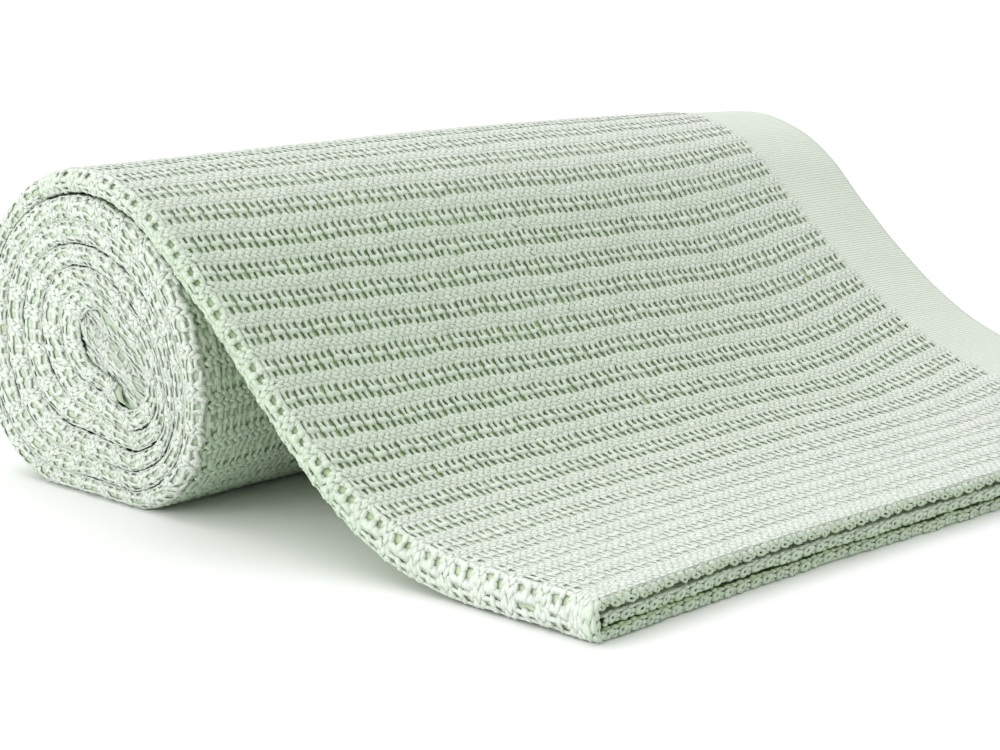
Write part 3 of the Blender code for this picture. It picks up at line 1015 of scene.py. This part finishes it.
def end_cloth(name, size, steps, bend, height, far):
    """A sheet on one end of the roll, at a height over the face that bend gives."""
    # It takes an even painted shade.
    make_sheet(name, size, steps, lambda across, along: bend(across, along, np.full(len(across), height)),
               everywhere(END_SHADE), 1.0, YARN, grow=-1 if far else 1)


def end_weave(name, columns, rows, bend, seed):
    """A piece of weave on one end of the roll."""
    # Its yarn is painted paler there, as light.
    make_weave(name, cell_repeat(), columns, rows, (REPEAT_WIDTH, RIB_PITCH), bend,
                             seed, amount=END_LOOSE, keep=everywhere(END_RELIEF),
                             pale=everywhere(END_PAINTED_PALE))


ENDS = (("near", False), ("far", True))
for side, far in ENDS:
    table = along_wind(LENGTH if far else 0.0, 0.5)
    ridge_length = float(np.interp(core_wind(LENGTH if far else 0.0), TURN_WINDS, table))
    bend = ridge_bend(far)
    end_cloth(f"ridge_cloth_{side}", (RIDGE_ACROSS, ridge_length), (9, int(ridge_length / 5)), bend, -1.0,
              far)
    end_weave(f"ridge_weave_{side}", 2, int(ridge_length / RIB_PITCH),
              lambda across, along, height: bend(across, along + RIB_PITCH / 2, height), 41)

# %% [markdown]
# At the heart of the roll the cloth was first folded over, so its end is a plump lobe rather than a
# ridge. It is the same weave on a low oval dome, whose rim sinks in about as deep as the grooves.

# %% The lobe in the middle of each end
LOBE = (24.5, 9.0)      # half its length and half its width
LOBE_TILT = 28.0        # how far its long way points down to the front
LOBE_HIGH, LOBE_IN = 4.5, 2.5   # the dome's height, and how far in from the roll's end it starts
RIM_SLOPE, RIM_LOW = 3.0, -0.6  # how the rim falls from there, and the lowest that it gets


def lobe_bend(far):
    x_end = LENGTH if far else 0.0
    row = section(x_end / LENGTH)
    middle_z = float(row["top"][0] - row["half_width"][0]) + HEART[1]
    lean = math.radians(-LOBE_TILT)

    def bend(across, along, height):
        u, v = along, across
        away = np.hypot(u / LOBE[0], v / LOBE[1])
        rim = np.maximum(RIM_SLOPE * (1 - away), RIM_LOW)
        dome = np.where(away < 1, LOBE_HIGH * np.sqrt(np.clip(1 - away**2, 0, 1)), rim)
        x = LOBE_IN - dome - height + 0.6 * waves(u, v, 71, (11.0, 17.0, 29.0))
        y = HEART[0] - u * math.cos(lean) - v * math.sin(lean)
        z = middle_z + u * math.sin(lean) + v * math.cos(lean)
        return np.stack((LENGTH - x if far else x, y, z), 1)
    return bend


LOBE_COLUMNS, LOBE_ROWS = 5, math.ceil(2 * LOBE[0] / RIB_PITCH) + 1
LOBE_WEAVE = (LOBE_COLUMNS * REPEAT_WIDTH, (LOBE_ROWS - 1) * RIB_PITCH)
LOBE_CLOTH = (LOBE_WEAVE[0] + 2 * REPEAT_WIDTH, 2 * LOBE[0] + 18)


def centred(bend, size):
    """bend, for places that are counted from a corner of a piece of that size."""
    return lambda across, along, height: bend(across - size[0] / 2, along - size[1] / 2, height)


for side, far in ENDS:
    bend = lobe_bend(far)
    end_weave(f"lobe_weave_{side}", LOBE_COLUMNS, LOBE_ROWS, centred(bend, LOBE_WEAVE), 61)
    end_cloth(f"lobe_cloth_{side}", LOBE_CLOTH, (28, 28), centred(bend, LOBE_CLOTH), -0.9, far)

# %% [markdown]
# ## The border
#
# The border is close plain weave, thinner than the cells beside it. It is one smooth sheet with a soft
# wave, and its fine threads are in its material.

# %% The border of the loose end
TUCK = 3.0              # how far the border runs in under the cells' edge


def bend_border(across, along):
    x = LENGTH - BORDER - TUCK + across
    ripple = 0.3 * waves(across, along * ROUGH_LENGTH, 51, (47.0, 83.0, 31.0))
    tucked = np.clip(1 - across / TUCK, 0, 1)
    return loose_point(x, along, 0.6 + 0.7 * tucked, ripple * (1 - tucked))


end_border = make_sheet("end_border_cloth", (BORDER + TUCK, ROUGH_LENGTH), (20, 180),
                        lambda across, along: bend_border(across, along / ROUGH_LENGTH),
                        everywhere(0.0), BORDER_CLOTH, PLAIN, grow=1)
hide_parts("end_border")

# %% [markdown]
# ## Floor, light and camera
#
# A pale floor runs far past the frame. The light is soft and mostly from above and the left, so faces
# that look up are nearly white, and the slope that faces the camera is a little darker.

# %% The floor and the room
floor_paint = Paint("pale_floor", roughness=0.7, sheen=0.0)
floor_paint.shader.inputs["Base Color"].default_value = color(0.86, 0.86, 0.86)
shape = bmesh.new()
bmesh.ops.create_grid(shape, x_segments=1, y_segments=1, size=40.0)
floor_mesh = to_mesh("floor", shape)
floor_mesh.materials.append(floor_paint.material)
floor = add_object("floor", floor_mesh)

world = bpy.data.worlds.new("room")
world.use_nodes = True
background = world.node_tree.nodes["Background"].inputs
background["Color"].default_value = color(0.98, 1.0, 0.975)
background["Strength"].default_value = 0.83
bpy.context.scene.world = world
bpy.context.scene.view_settings.view_transform = "Standard"

sky = bpy.data.lights.new("sky", "SUN")
sky.energy = 1.55
sky.angle = math.radians(70)
sky_item = add_object("sky", sky)
sky_item.rotation_euler = Vector((0.15, 0.5, 1.0)).to_track_quat("Z", "Y").to_euler()
left_side = bpy.data.lights.new("left_side", "AREA")
left_side.size = 1.4
left_side.energy = 17
left_item = add_object("left_side", left_side)
left_item.location = (-1.9, 0.5, 0.7)
left_item.rotation_euler = (Vector((0, 0, 0.05)) - left_item.location).to_track_quat("-Z", "Y").to_euler()

# %% Camera: in front of the blanket's near corner, a little above it, with a long lens
azimuth, down, roll = (math.radians(angle) for angle in (45.621, 12.532, -0.606))
CAMERA_DISTANCE = 1167.7
CAMERA_TARGET = (69.34, -198.07, 76.0)
SENSOR_WIDTH = 36.0
LENS_OVER_WIDTH = 2.7923

forward = Vector((math.cos(down) * math.cos(azimuth), math.cos(down) * math.sin(azimuth), -math.sin(down)))
right = Vector((math.sin(azimuth), -math.cos(azimuth), 0))
up = right.cross(forward)
right, up = right * math.cos(roll) + up * math.sin(roll), up * math.cos(roll) - right * math.sin(roll)
camera_data = bpy.data.cameras.new("camera")
camera_data.sensor_width = SENSOR_WIDTH
camera_data.lens = SENSOR_WIDTH * LENS_OVER_WIDTH
camera_data.clip_start = 0.05
camera = add_object("camera", camera_data)
place = (Vector(CAMERA_TARGET) + Vector(TO_FRAME) - forward * CAMERA_DISTANCE) * MM
turned = Matrix((right, up, -forward)).transposed().to_4x4()
camera.matrix_world = Matrix.Translation(place) @ turned
bpy.context.scene.camera = camera

# %% [markdown]
# ## What the soft pieces are
#
# The loose end is one folded sheet with its weave and loops on it. The roll's outer turn and the border
# are sheets too.

# %% Finish
sum(fold_widths(0.0)) * MM

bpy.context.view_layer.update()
